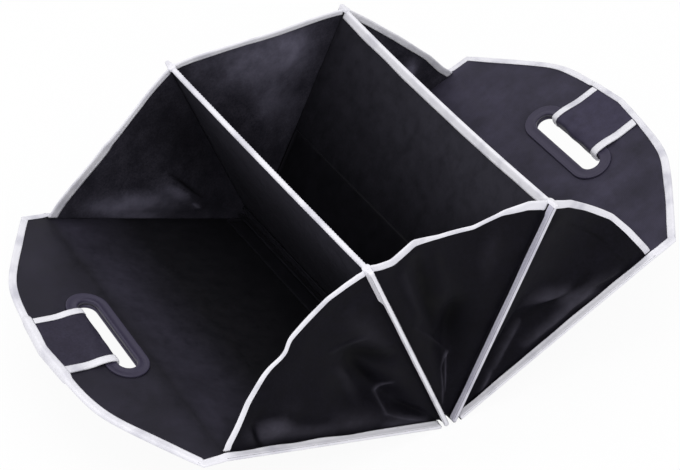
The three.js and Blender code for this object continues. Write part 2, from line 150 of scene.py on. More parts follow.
def makePiece(name, points, faces, material, stands=(), uv=None, thick=0, closed=False,
              paintedLight=None, lining=None):
    # Points in millimetres go to the frame in metres. A closed shape is turned right side out by
    # the sign of its volume, and a cloth one gets its thickness from Solidify. Each point's painted
    # light and shade comes as a value, lighter above 0 and darker, painted shade, below it; lining
    # is another cloth for the back.
    places = (np.asarray(points, float).reshape(-1, 3) + toFrame) / 1000
    if closed:
        a, b, c = (places[faces[:, k]] for k in range(3))
        d = places[faces[:, 3]]
        volume = np.einsum("ij,ij->i", a, np.cross(b, c)).sum() + np.einsum(
            "ij,ij->i", a, np.cross(c, d)).sum()
        faces = faces if volume > 0 else faces[:, ::-1]
    mesh = bpy.data.meshes.new(name)
    mesh.from_pydata(places.tolist(), [], faces.tolist())
    if uv is not None:
        layer = mesh.uv_layers.new(name="cloth")
        flat = (np.asarray(uv, float).reshape(-1, 2) / 1000)[faces.ravel()]
        layer.data.foreach_set("uv", flat.ravel())
    mesh.polygons.foreach_set("use_smooth", np.ones(len(faces), bool))
    mesh.materials.append(material)
    if lining:
        mesh.materials.append(lining)
    if paintedLight is not None:
        paintedLightShare = mesh.attributes.new("paintedLight", "FLOAT", "POINT")
        paintedLightShare.data.foreach_set("value", np.clip(np.asarray(paintedLight, float), -1, 1).ravel())
    mesh.update()
    piece = bpy.data.objects.new(name, mesh)
    bpy.context.scene.collection.objects.link(piece)
    if thick:
        solid = piece.modifiers.new("cloth thickness", "SOLIDIFY")
        solid.thickness = thick / 1000
        solid.offset = 0
        solid.material_offset = 1 if lining else 0
    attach(piece, "root")
    if stands:
        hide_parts(*stands)
    return piece


def ripple(seed, x, y, size, count=7):
    # Soft unevenness: a sum of sine waves of random direction and phase, about size apart
    random = np.random.default_rng(seed)
    turn = random.uniform(0, np.pi, count)
    phase = random.uniform(0, 2 * np.pi, count)
    wave = 2 * np.pi / (size * random.uniform(0.7, 1.6, count))
    total = sum(np.sin(wave[k] * (x * np.cos(turn[k]) + y * np.sin(turn[k])) + phase[k])
                for k in range(count))
    return total / np.sqrt(count)


def foldAlong(x, y, fold):
    # A fold along a straight line: its height falls off with the distance from that line, as a
    # bell for a soft fold, or as a peak for a pressed crease
    x0, y0, x1, y1 = fold["line"]
    run = np.array([x1 - x0, y1 - y0], float)
    share = np.clip(((x - x0) * run[0] + (y - y0) * run[1]) / (run @ run), 0, 1)
    away = np.hypot(x - x0 - share * run[0], y - y0 - share * run[1])
    ends = np.sin(np.pi * np.clip(share * 0.9 + 0.05, 0, 1)) ** 0.5
    shape = np.exp(-away / fold["wide"]) if fold["sharp"] else np.exp(-(away / fold["wide"]) ** 2)
    return shape * ends


# Materials
def hexColour(text):
    # sRGB hex to linear: below 0.04045 divide by 12.92, above it the 2.4 power curve
    value = np.array([int(text[k:k + 2], 16) / 255 for k in (1, 3, 5)])
    linear = np.where(value <= 0.04045, value / 12.92, ((value + 0.055) / 1.055) ** 2.4)
    return (*linear.tolist(), 1)


def addNode(tree, kind, settings=None, links=None):
    node = tree.nodes.new(kind)
    for key, value in (settings or {}).items():
        if isinstance(key, str) and hasattr(node, key):
            setattr(node, key, value)
        else:
            node.inputs[key].default_value = value
    for key, source in (links or {}).items():
        tree.links.new(source, node.inputs[key])
    return node


def perMetre(millimetres):
    return 1000 / millimetres


def noise(tree, place, size, detail, roughness=0.5):
    return addNode(tree, "ShaderNodeTexNoise", {
        "Scale": perMetre(size), "Detail": detail, "Roughness": roughness}, {"Vector": place})


def threads(tree, uv, direction, apart, uneven):
    # Threads as soft bands. A wave texture repeats about every 2 / 6.28 of its scale.
    return addNode(tree, "ShaderNodeTexWave", {
        "wave_type": "BANDS", "bands_direction": direction, "Scale": perMetre(apart) / 6.28 * 2,
        "Distortion": uneven}, {"Vector": uv}).outputs["Fac"]


def ramp(tree, factor, places, colours):
    node = addNode(tree, "ShaderNodeValToRGB", {}, {"Fac": factor})
    for stop, place, colour in zip(node.color_ramp.elements, places, colours):
        stop.position = place
        stop.color = hexColour(colour)
    return node.outputs["Color"]


def towards(tree, factor, colour, goal):
    return addNode(tree, "ShaderNodeMix", {"data_type": "RGBA", 7: hexColour(goal)},
                   {0: factor, 6: colour}).outputs[2]


def relieve(tree, shader, height, strength, distance):
    bump = addNode(tree, "ShaderNodeBump", {"Strength": strength, "Distance": distance},
                   {"Height": height})
    tree.links.new(bump.outputs["Normal"], shader.inputs["Normal"])


def newMaterial(name, settings):
    material = bpy.data.materials.new(name)
    material.use_nodes = True
    tree = material.node_tree
    shader = tree.nodes["Principled BSDF"]
    for key, value in settings.items():
        shader.inputs[key].default_value = value
    return material, tree, shader


def clothMaterial(name, look):
    # Polyester cloth: dull woven threads, a slightly cloudy dye, and painted light and shade from
    # each point's value: a painted highlight above 0, patchy with the cloud, and painted shade
    # below
    # 0. The threads are 0.5 mm apart, drawn 1.4 mm apart so that they show.
    material, tree, shader = newMaterial(name, {
        "Roughness": look["roughness"], "IOR": 1.5, "Specular IOR Level": look["specular"],
        "Sheen Weight": look["sheen"], "Sheen Roughness": 0.45, "Sheen Tint": hexColour("#b9b6cc"),
    })
    place = addNode(tree, "ShaderNodeTexCoord").outputs["Object"]
    uv = addNode(tree, "ShaderNodeUVMap", {"uv_map": "cloth"}).outputs["UV"]
    cloud = noise(tree, place, look["cloud"], 5, 0.65)
    fibre = noise(tree, place, look["fibre"], 4, 0.7)
    tone = addNode(tree, "ShaderNodeMath", {"operation": "MULTIPLY"},
                   {0: cloud.outputs["Fac"], 1: fibre.outputs["Fac"]})
    dye = ramp(tree, tone.outputs[0], (look["from"], look["to"]), (look["dark"], look["light"]))
    paintedLight = addNode(tree, "ShaderNodeAttribute", {"attribute_name": "paintedLight"})
    uneven = addNode(tree, "ShaderNodeMapRange", {
        "From Min": 0.3, "From Max": 0.7, "To Min": 1 - look["patchy"],
        "To Max": 1 + look["patchy"]}, {"Value": cloud.outputs["Fac"]})
    # painted highlight: a point value above 0, made patchy by the cloud, mixes in the lit colour
    paintedLightShare = addNode(tree, "ShaderNodeMath", {"operation": "MULTIPLY", "use_clamp": True},
                     {0: paintedLight.outputs["Fac"], 1: uneven.outputs["Result"]})
    colour = towards(tree, paintedLightShare.outputs[0], dye, look["paintedLitColour"])
    # painted shade: a point value below 0 mixes in near black
    paintedShade = addNode(tree, "ShaderNodeMath", {"operation": "MULTIPLY", "use_clamp": True, 1: -1},
                   {0: paintedLight.outputs["Fac"]})
    tree.links.new(towards(tree, paintedShade.outputs[0], colour, "#040405"), shader.inputs["Base Color"])
    dull = addNode(tree, "ShaderNodeMapRange", {
        "From Min": 0.3, "From Max": 0.7, "To Min": look["roughness"] - 0.1,
        "To Max": look["roughness"] + 0.12}, {"Value": cloud.outputs["Fac"]})
    tree.links.new(dull.outputs["Result"], shader.inputs["Roughness"])
    weave = addNode(tree, "ShaderNodeMath", {"operation": "MAXIMUM"}, {
        0: threads(tree, uv, "X", 1.4, 0.4), 1: threads(tree, uv, "Y", 1.4, 0.4)})
    relief = addNode(tree, "ShaderNodeMath", {"operation": "MULTIPLY_ADD", 1: look["crumple"]},
                     {0: cloud.outputs["Fac"], 2: weave.outputs[0]})
    relieve(tree, shader, relief.outputs[0], look["bump"], 0.0002)
    return material


def tapeMaterial(name, look):
    # White polyester binding tape: satin ribs across it 0.6 mm apart, drawn 1.2 mm apart so
    # that they show, with painted shade, a lavender grey, on the faces whose point value marks
    # them as turned from the light
    material, tree, shader = newMaterial(name, {
        "Roughness": 0.55, "IOR": 1.5, "Sheen Weight": 0.2, "Sheen Tint": hexColour("#ffffff")})
    uv = addNode(tree, "ShaderNodeUVMap", {"uv_map": "cloth"}).outputs["UV"]
    place = addNode(tree, "ShaderNodeTexCoord").outputs["Object"]
    soil = noise(tree, place, 28, 2)
    clean = ramp(tree, soil.outputs["Fac"], (0.25, 0.5), (look["dark"], look["light"]))
    paintedLight = addNode(tree, "ShaderNodeAttribute", {"attribute_name": "paintedLight"})
    colour = towards(tree, paintedLight.outputs["Fac"], clean, look["shadeGrey"])
    tree.links.new(colour, shader.inputs["Base Color"])
    relieve(tree, shader, threads(tree, uv, "X", 1.2, 0.3), 0.35, 0.0002)
    return material


def plasticMaterial(name, look):
    # Moulded polypropylene: charcoal, a fine spark-eroded grain 0.8 mm across, duller in patches
    material, tree, shader = newMaterial(name, {
        "Base Color": hexColour(look["colour"]), "Roughness": 0.42, "IOR": 1.49,
        "Specular IOR Level": look["specular"]})
    place = addNode(tree, "ShaderNodeTexCoord").outputs["Object"]
    grain = noise(tree, place, 0.8, 3)
    patch = noise(tree, place, 14, 2)
    dull = addNode(tree, "ShaderNodeMapRange", {"To Min": 0.36, "To Max": 0.52},
                   {"Value": patch.outputs["Fac"]})
    tree.links.new(dull.outputs["Result"], shader.inputs["Roughness"])
    relieve(tree, shader, grain.outputs["Fac"], 0.25, 0.0001)
    return material


wallCanvas = clothMaterial("black polyester canvas", {
    "roughness": 0.5, "specular": 0.03, "sheen": 0.02, "cloud": 16, "fibre": 3,
    "from": 0.14, "to": 0.42, "dark": "#0d0c11", "light": "#15141b", "paintedLitColour": "#413f49",
    "patchy": 0.35, "crumple": 0.8, "bump": 0.35})
lining = clothMaterial("black nonwoven lining", {
    "roughness": 0.75, "specular": 0.05, "sheen": 0.06, "cloud": 18, "fibre": 2.2,
    "from": 0.16, "to": 0.4, "dark": "#23222a", "light": "#3b3943", "paintedLitColour": "#7a778a",
    "patchy": 0.35, "crumple": 1.2, "bump": 0.4})
dividerCanvas = clothMaterial("black polyester canvas over stiff board", {
    "roughness": 0.55, "specular": 0.06, "sheen": 0.03, "cloud": 14, "fibre": 2.5,
    "from": 0.14, "to": 0.42, "dark": "#101013", "light": "#1b1a20", "paintedLitColour": "#302f37",
    "patchy": 0.3, "crumple": 0.5, "bump": 0.12})
panelCanvas = clothMaterial("brushed polyester canvas over board", {
    "roughness": 0.6, "specular": 0.1, "sheen": 0.04, "cloud": 14, "fibre": 2.5,
    "from": 0.14, "to": 0.42, "dark": "#0f0f12", "light": "#17161a", "paintedLitColour": "#413e4e",
    "patchy": 0.24, "crumple": 0.5, "bump": 0.3})
strapCanvas = clothMaterial("doubled polyester canvas", {
    "roughness": 0.55, "specular": 0.1, "sheen": 0.06, "cloud": 12, "fibre": 2.5,
    "from": 0.14, "to": 0.42, "dark": "#272431", "light": "#353241", "paintedLitColour": "#4a465c",
    "patchy": 0.3, "crumple": 0.6, "bump": 0.3})
bindingTape = tapeMaterial("white grosgrain binding", {
    "dark": "#c4c3ce", "light": "#e4e3ea", "shadeGrey": "#8a87a0"})
sewingThread = tapeMaterial("white polyester thread", {
    "dark": "#c4c2d0", "light": "#dfdee8", "shadeGrey": "#9d9ab0"})
gripPlastic = plasticMaterial("moulded polypropylene grip", {"colour": "#383446", "specular": 0.24})
stiffSheet = plasticMaterial("extruded board", {"colour": "#45433f", "specular": 0.4})
for name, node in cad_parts.items():
    if name.endswith("board"):
        node.data.materials.clear()
        node.data.materials.append(stiffSheet)
print("materials ready")

# Stitches: a lens of thread for each, laid along a row
threadLook = {"long": 2.9, "pitch": 4.2, "thick": 0.45}
threadRows = []


def sewAlong(path, normal):
    # Walks an evenly stepped path and keeps the middle, direction and face of each stitch
    run = runOf(path)
    at = np.arange(threadLook["pitch"] / 2, run[-1], threadLook["pitch"])

    def read(values, where):
        return np.stack([np.interp(where, run, values[:, k]) for k in range(3)], -1)

    middle, face = read(path, at), read(normal, at)
    along = read(path, at + 0.5) - read(path, at - 0.5)
    along /= np.linalg.norm(along, axis=1, keepdims=True)
    face /= np.linalg.norm(face, axis=1, keepdims=True)
    threadRows.append((middle, along, face))


def threadPiece(name):
    # Each stitch is five rings of five points, swollen in its middle as the sine of its length
    middle, along, face = (np.concatenate(part) for part in zip(*threadRows))
    side = np.cross(along, face)
    share = np.linspace(0.04, 0.96, 5)
    turn = np.linspace(0, 2 * np.pi, 5, endpoint=False)
    swell = threadLook["thick"] / 2 * np.sin(np.pi * share)[:, None]
    lengthwise = (share - 0.5)[:, None] * threadLook["long"] * np.ones_like(turn)
    up, out = swell * np.cos(turn), swell * np.sin(turn)
    grid = (middle[:, None, None] + lengthwise[..., None] * along[:, None, None]
            + up[..., None] * face[:, None, None] + out[..., None] * side[:, None, None])
    quads = gridFaces(len(share), len(turn), wrapColumns=True)
    first = np.arange(len(middle))[:, None, None] * len(share) * len(turn)
    faces = (quads[None] + first).reshape(-1, 4)
    uv = np.stack(np.broadcast_arrays(lengthwise[None], np.zeros_like(grid[..., 0])), -1)
    makePiece(name, grid, faces, sewingThread, uv=uv)


# Binding tape, folded over an edge
tapeLook = {"drawn": 0.5, "air": 0.05, "nose": 1.5, "start": 0.8, "wave": 0.35, "waveSize": 60,
            "pucker": 0.12, "puckerWide": 1.4, "stitchIn": 1.7, "stitchLift": 0.02}


def tapePiece(name, place, along, reach, plus, minus, stands, seed, shade=(0, 0)):
    # The section starts at reach on one face, runs straight to the nose, goes round the edge as
    # half an ellipse and runs back on the other face. reach and the two half thicknesses vary
    # slowly along the tape, and the stitches pull it in by a fine pucker. shade is the painted
    # shade on each face, greyer on a face turned from the light.
    along = np.asarray(along, float)
    row = along[:, None]
    reach, plus, minus = (np.broadcast_to(np.asarray(value, float).reshape(-1, 1), row.shape)
                          for value in (reach, plus, minus))
    reach = reach + ripple(seed, row, 0 * row, tapeLook["waveSize"]) * tapeLook["wave"]
    pull = 0.5 + 0.5 * np.cos(2 * np.pi * row / threadLook["pitch"])
    turn = np.linspace(0, np.pi, 11)[None, :]
    flat = np.array([[0, 0.2, 0.45, 0.75]])
    middle = (plus - minus) / 2
    radius = (plus + minus) / 2 + tapeLook["drawn"] / 2 + tapeLook["air"]
    nose = tapeLook["nose"]
    flatDepth = reach + (nose - reach) * flat
    fromRow = (reach - flatDepth - tapeLook["stitchIn"]) / tapeLook["puckerWide"]
    dip = -tapeLook["pucker"] * pull * np.exp(-fromRow ** 2)
    roundEdge = nose - (nose + gap + tapeLook["drawn"] / 2) * np.sin(turn) + 0 * row
    depth = np.concatenate([flatDepth, roundEdge, flatDepth[:, ::-1]], 1)
    offset = np.concatenate([
        middle + radius + dip, middle + radius * np.cos(turn), (middle - radius - dip)[:, ::-1]], 1)
    grid = place(depth, offset)
    faces = gridFaces(*grid.shape[:2])
    width = runOf(grid[0])
    uv = np.stack(np.broadcast_arrays(row, width[None, :]), -1)
    # painted shade across the section, from one face's shade to the other's
    shadeGrey = np.concatenate([
        np.full(flat.size, shade[0]), np.linspace(*shade, turn.size), np.full(flat.size, shade[1])])
    makePiece(name, grid, faces, bindingTape, stands, uv, tapeLook["drawn"],
              paintedLight=shadeGrey[None, :] + 0 * depth)
    for sign, clear in ([1, plus], [-1, minus]):
        line = reach - tapeLook["stitchIn"]
        top = sign * (clear + tapeLook["drawn"] + tapeLook["stitchLift"])
        path = place(line, top)[:, 0]
        above = place(line, top + sign)[:, 0]
        sewAlong(path, above - path)


# Stiff panels: cloth over both faces of the board
skinLook = {
    "columns": 118, "bodyRows": 64, "flapRows": 34, "sewn": (11, 30),
    "puff": 0.55, "uneven": 0.8, "unevenSize": 70, "sink": 0.25, "valley": 0.9, "valleyWide": 6,
    "ringClear": 28, "ringEase": 10, "lightPaintUneven": 0.16, "lightPaintSize": 55,
    # painted light and shade up each end panel by r: the left one painted shade towards the fan's
    # foot and a little darker at the flap's bend, the right one lighter up its face and flap where
    # the light falls on it
    "lightPaintAt": [0, 60, 120, 180, 230, 245, 250, 256, 270, 345],
    "lightPaint": {"left_end": [-0.5, -0.4, -0.16, 0.14, 0.36, 0.22, 0.12, 0.18, 0.28, 0.28],
            "right_end": [0, 0, 0.1, 0.4, 0.66, 0.7, 0.72, 0.76, 0.66, 0.6]},
    # painted light on a divider towards its top and front, and painted shade towards its foot
    "dividerLightPaint": {"from": 100, "to": 240, "middle": 0.8, "forward": 0.4, "dark": 0.5,
                   "shadeFrom": 130, "shadeTo": 50},
}
gripForm = {"slotLong": 103, "slotHigh": 22, "slotRise": 27, "band": 12, "thick": 2.2, "lip": 0.6,
            "strapWide": 78, "strapThick": 1.2, "tuck": 1.2, "landing": 12,
            # the right strap gets painted light, lighter where the light falls on it
            "strapShown": 7.4, "strapLightPaint": {"left_end": 0, "right_end": 0.35},
            "around": 120,
            "strapColumns": 26, "strapUneven": 0.5, "strapLong": 200, "unevenSize": 30}


def slotDistance(y, r, high, long):
    # Distance from a slot with round ends, negative inside it
    reach = (long - high) / 2
    return np.hypot(np.maximum(np.abs(y) - reach, 0), r - rim - gripForm["slotRise"]) - high / 2


def skinPiece(panel, name, side, seed, stands):
    # A grid up the panel and, on an end, on up the flap to the arch. The cloth swells a little
    # off the board, dips where the flap bends, and is cut out round the hand slot.
    y = np.linspace(-edgeY, edgeY, skinLook["columns"])[:, None]
    r = np.linspace(0, 1, skinLook["bodyRows"])[None, :] * np.minimum(topOf(panel, y), rim)
    if panel["end"]:
        share = np.linspace(0, 1, skinLook["flapRows"])[None, 1:]
        r = np.concatenate([r, rim + share * archTop(y)], 1)
    y = y + 0 * r
    top = topOf(panel, y)
    edge = np.minimum(np.minimum(edgeY - np.abs(y), top - r), r)
    loose = smoothStep(edge, *skinLook["sewn"])
    uneven = ripple(seed, y, r, skinLook["unevenSize"]) * skinLook["uneven"]
    rise = loose * skinLook["puff"] * (1 + uneven)
    if panel["end"]:
        rise -= loose * skinLook["valley"] * np.exp(-((r - rim) / skinLook["valleyWide"]) ** 2)
    # A hollow levels off before it reaches the board
    rise = np.where(rise < 0, skinLook["sink"] * np.tanh(rise / skinLook["sink"]), rise)
    if panel["end"]:
        clear = skinLook["ringClear"]
        ringGap = slotDistance(y, r, gripForm["slotHigh"] + clear, gripForm["slotLong"] + clear)
        rise = rise * smoothStep(ringGap, 0, skinLook["ringEase"])
    grid = onPanel(panel, y, r, side * (panelThick / 2 - body["skin"] / 2 + rise))
    faces = gridFaces(*grid.shape[:2])
    if panel["end"]:
        hole = slotDistance(y, r, gripForm["slotHigh"], gripForm["slotLong"])
        faces = faces[(hole.ravel()[faces] > 0.5).all(1)]
        # painted light and shade by height, a little uneven
        paintedLight = np.interp(r, skinLook["lightPaintAt"], skinLook["lightPaint"][panel["name"]])
        paintedLight = paintedLight * (1 + skinLook["lightPaintUneven"] * ripple(seed + 7, y, r, skinLook["lightPaintSize"]))
    else:
        # painted light towards the top and front, painted shade towards the foot
        lightPaint = skinLook["dividerLightPaint"]
        paintedLight = (smoothStep(r, lightPaint["from"], lightPaint["to"]) * (lightPaint["middle"] - lightPaint["forward"] * y / edgeY)
                - lightPaint["dark"] * smoothStep(r, lightPaint["shadeFrom"], lightPaint["shadeTo"]))
    cloth = panelCanvas if panel["end"] else dividerCanvas
    piece = makePiece(name, grid, faces, cloth, stands,
                      np.stack([y, r], -1), body["skin"], paintedLight=paintedLight)


for index, panel in enumerate(panels):
    inner = 1 if panel["x"] < 0 else -1
    for side in (-1, 1):
        word = "left" if side < 0 else "right"
        if panel["end"]:
            word = "inner" if side == inner else "outer"
        skinPiece(panel, f"{panel['name']}_{word}_canvas", side, 31 + index * 2 + side,
                  [f"{panel['name']}_{word}_skin"])
print("panel cloth ready")


def soft(x0, y0, x1, y1, wide, high, paintedLight):
    # A soft fold from one point of a wall to another, in millimetres from the middle and up.
    # The last value is painted light along it or, below 0, painted shade.
    return {"line": (x0, y0, x1, y1), "wide": wide, "high": high, "paintedLight": paintedLight, "sharp": False}


def crease(*form):
    # The same line pressed to a peak
    return {**soft(*form), "sharp": True}


# Front and back walls. lifts are the heights of the rim above the straight line between its two
# panels and reach is how far the tape comes down, both at shares of the way across. bow draws
# the cloth in towards the rim and dent is the hollow where the folded floor pulls it in.
walls = [
    {"name": "front_wall_left", "bay": 0, "side": -1, "bow": 12, "dent": 18,
     "lifts": [(0, 0), (0.05, 3), (0.14, 6), (0.25, 10.5), (0.38, 10.5), (0.42, 9), (0.475, 4.5),
               (0.51, 4.5), (0.565, 11), (0.68, 12.5), (0.8, 13), (0.9, 8), (1, 0)],
     "reach": [(0, 5), (0.2, 4.4), (0.5, 3.2), (0.8, 3.8), (0.92, 4.5), (1, 5)],
     "folds": [
         crease(-2.5, 89, 16, 89.6, 1.2, 2.5, 1), crease(-2.5, 89, -14.6, 69, 1.1, 2, 0.6),
         crease(-14.6, 70, -5, 10, 1.5, 2.4, 0.55), soft(-24, 62, -8, 16, 6, 2, 0.5),
         soft(-3, 62, 1, 24, 4, -3, -0.5), soft(26, 176, 37, 128, 9, -6, -0.8),
         soft(20, 165, 6, 100, 7, -5, -0.8), soft(8, 168, -12, 110, 6, 2.5, 0.14),
         soft(20, 190, 46, 172, 3, 2, 0.2), crease(-72, 228, -97, 197, 1.6, -5, -1),
         soft(-80, 216, -54, 186, 12, 3, 0.7), soft(-66, 186, -24, 80, 9, 2, 0.32),
         soft(-60, 236, -40, 120, 7, -2, -0.3), soft(62, 215, 46, 140, 9, 2, 0.12)]},
    {"name": "front_wall_middle", "bay": 1, "side": -1, "bow": 8, "dent": 14,
     "lifts": [(0, 0), (0.05, -2), (0.12, -3), (0.26, 8), (0.4, 0), (0.6, -4.5),
               (0.72, 1.5), (0.75, 4), (0.88, 6.5), (1, 0)],
     "reach": [(0, 7.5), (0.24, 7), (0.4, 3.4), (0.72, 3), (0.78, 5.5), (0.86, 8), (1, 9)],
     "folds": [
         crease(-47.5, 148, 4, 78, 1.1, 2, 0.45), crease(4, 78, -6.6, 64, 1.1, 2, 0.9),
         crease(-6.6, 64, -6, 20, 1, 1.6, 0.7), crease(2.3, 78, -3, 34, 1, 1.6, 0.7),
         soft(-64, 226, -38, 150, 6, 3.5, 0.14), soft(-44, 224, -16, 130, 8, -4, -0.7),
         soft(-24, 224, -4, 150, 7, 3, 0.08), soft(10, 150, 6, 100, 9, -4, -0.5),
         soft(-20, 180, 20, 90, 44, 0, -0.35), soft(40, 222, 26, 130, 14, 1.5, 0.14)]},
    {"name": "front_wall_right", "bay": 2, "side": -1, "bow": 14, "dent": 12,
     "lifts": [(0, 0), (0.16, 7.5), (0.4, 9.5), (0.6, 12), (0.76, 8.7), (0.92, 3), (1, 0)],
     "reach": [(0, 8), (0.2, 6), (0.6, 5.5), (1, 6)],
     "folds": [
         crease(-43, 224, 60, 219, 0.9, -0.9, -0.7), soft(-3, 127, 62, 208, 5, 4, 0.22),
         soft(22, 96, 48, 178, 5, 3.5, 0.6), soft(0, 140, 56, 176, 9, 2, 0.45),
         soft(8, 116, 36, 186, 4, -3, -0.4), soft(8, 58, 6, 112, 2.5, 3.5, 0.5),
         crease(7.5, 54, 12, 26, 1.5, 2.5, 0.8)]},
    {"name": "back_wall_left", "bay": 0, "side": 1, "bow": 7, "dent": 8,
     "lifts": [(0, 0), (0.12, 4), (0.3, 7), (0.48, 9.5), (0.53, 8), (0.7, 6), (0.88, 3), (1, 0)],
     "reach": [(0, 9), (0.49, 8), (0.51, 5.5), (1, 5)],
     "folds": [
         crease(5, 152, -1, 92, 2, -3, -0.9), soft(-10, 144, -8, 104, 10, -4, 0.45),
         soft(-46, 178, -20, 104, 12, -5, 0.4), soft(-64, 208, -44, 120, 10, 0, 0.5),
         soft(60, 236, 22, 80, 34, 0, -0.6), crease(-12, 92, -14, 74, 2.5, -4, 0.7),
         soft(0, 236, 20, 180, 34, 0, -0.2)]},
    {"name": "back_wall_middle", "bay": 1, "side": 1, "bow": 6, "dent": 5,
     "lifts": [(0, 0), (0.1, 2.5), (0.4, 5.5), (0.7, 4), (0.9, 1.5), (1, 0)],
     "reach": [(0, 5), (0.5, 4.5), (1, 5)],
     "folds": [
         soft(-44, 232, 30, 215, 34, 0, 0.45), soft(26, 232, 44, 196, 20, -2, 0.5),
         soft(6, 186, 26, 130, 22, 0, 0.25), soft(-30, 150, -10, 30, 16, 0, -0.3)]},
    {"name": "back_wall_right", "bay": 2, "side": 1, "bow": 9, "dent": 6,
     "lifts": [(0, 0), (0.17, 2.5), (0.42, 5), (0.72, 4), (0.9, 0), (1, 0)],
     "reach": [(0, 7), (0.5, 6), (1, 7)],
     "folds": [
         soft(24, 226, 48, 196, 9, -3, 0.8), soft(-20, 200, 10, 170, 14, 2, 0.3)]},
]
dentAt = {"across": 0.5, "up": 0.42, "wide": 0.24, "tall": 0.2}
wallLook = {"columns": 120, "rows": 120, "flangeColumns": 4, "ripple": 0.7, "rippleSize": 60,
            "sewn": 14, "rimFree": (0.03, 0.1)}


def between(pairs, across):
    # Straight lines between the pairs, eased by the mean of five samples close by
    near = np.array([-0.014, -0.007, 0, 0.007, 0.014])
    at, value = zip(*pairs)
    return sum(np.interp(across + step, at, value) for step in near) / len(near)


def onWall(wall, across, up, folds=True):
    # A point of a cloth wall: straight across between its two panels at one height, lifted
    # towards the rim, drawn in by bow and dent, then raised by each fold
    across, up = np.broadcast_arrays(np.asarray(across, float), np.asarray(up, float))
    y = wall["side"] * wallY
    r = seamStart + up * (rim - seamStart)
    left = onPanel(panels[wall["bay"]], y, r, flangeOffset)
    right = onPanel(panels[wall["bay"] + 1], y, r, -flangeOffset)
    point = left + (right - left) * across[..., None]
    swell = np.sin(np.pi * across)
    lift = between(wall["lifts"], across) * smoothStep(swell, 0, 0.12) * up ** 2
    reach = np.hypot(point[..., 0], point[..., 2])
    hollow = np.exp(-((across - dentAt["across"]) / dentAt["wide"]) ** 2
                    - ((up - dentAt["up"]) / dentAt["tall"]) ** 2)
    inward = swell ** 2 * (wall["bow"] * up + wall["dent"] * hollow)
    if folds:
        span = np.linalg.norm(right - left, axis=-1)
        x, height = (across - 0.5) * span, up * (rim - seamStart)
        free = smoothStep(np.minimum(across, 1 - across) * span, 0, wallLook["sewn"]) * smoothStep(
            1 - up, *wallLook["rimFree"])
        uneven = ripple(10 + wall["bay"] * 3 + wall["side"], x, height, wallLook["rippleSize"])
        raised = sum(fold["high"] * foldAlong(x, height, fold) for fold in wall["folds"])
        inward = inward - free * (wallLook["ripple"] * uneven + raised)
    point[..., 0] += lift * point[..., 0] / reach
    point[..., 2] += lift * point[..., 2] / reach
    point[..., 1] -= wall["side"] * inward
    return point


def wallPiece(wall, name):
    # The wall's own grid, with a short band at each side that turns out along the panel's edge
    up = np.linspace(0, 1, wallLook["rows"])[None, :]
    across = np.linspace(0, 1, wallLook["columns"])[:, None]
    main = onWall(wall, across, up)
    bands = []
    for index, offset in ((wall["bay"], flangeOffset), (wall["bay"] + 1, -flangeOffset)):
        y = wall["side"] * np.linspace(
            edgeY, wallY, wallLook["flangeColumns"], endpoint=False)[:, None]
        bands.append(onPanel(panels[index], y, seamStart + up * (rim - seamStart), offset))
    grid = np.concatenate([bands[0], main, bands[1][::-1]])
    run = runOf(grid[:, -1])
    uv = np.stack(np.broadcast_arrays(run[:, None], up * rim), -1)
    span = np.linalg.norm(main[-1] - main[0], axis=-1)
    x, height = (across - 0.5) * span[None, :], up * (rim - seamStart)
    # painted highlights along the folds and painted shade in the hollows
    paintedLightShare = sum(fold["paintedLight"] * foldAlong(x, height, fold) for fold in wall["folds"])
    paintedLight = np.pad(paintedLightShare, ((wallLook["flangeColumns"],) * 2, (0, 0)))
    # The grid's faces look out of the front; those of the back are turned, so that the canvas,
    # the first material, is outside and the lining inside
    faces = gridFaces(*grid.shape[:2])
    faces = faces if wall["side"] < 0 else faces[:, ::-1]
    piece = makePiece(name, grid, faces, wallCanvas,
                      [wall["name"]], uv, body["wallCloth"], paintedLight=paintedLight, lining=lining)


def rimTape(wall, name, seed):
    # Over the wall's top edge: in from it down the wall, and out square to the wall
    half = body["wallCloth"] / 2 + gap
    ends = onWall(wall, np.array([0.0, 1.0]), 1.0)
    start = (half + gap) / np.linalg.norm(ends[1] - ends[0])
    across = np.linspace(start, 1 - start, 120)[:, None]
    step = 0.004

    def smooth(at, up):
        return onWall(wall, at, up, folds=False)

    normal = np.cross(smooth(across + step, 1.0) - smooth(across - step, 1.0),
                      smooth(across, 1.0) - smooth(across, 1 - 2 * step))
    normal /= np.linalg.norm(normal, axis=-1, keepdims=True)

    def place(depth, offset):
        return smooth(across, 1 - depth / (rim - seamStart)) + offset[..., None] * normal

    along = runOf(smooth(across, 1.0)[:, 0])
    reach = between(wall["reach"], across[:, 0])
    tapePiece(name, place, along, reach, half, half, [f"{wall['name']}_rim_tape"], seed)


for index, wall in enumerate(walls):
    wallPiece(wall, f"{wall['name']}_cloth")
    rimTape(wall, f"{wall['name']}_rim_binding", 50 + index)
print("walls ready")


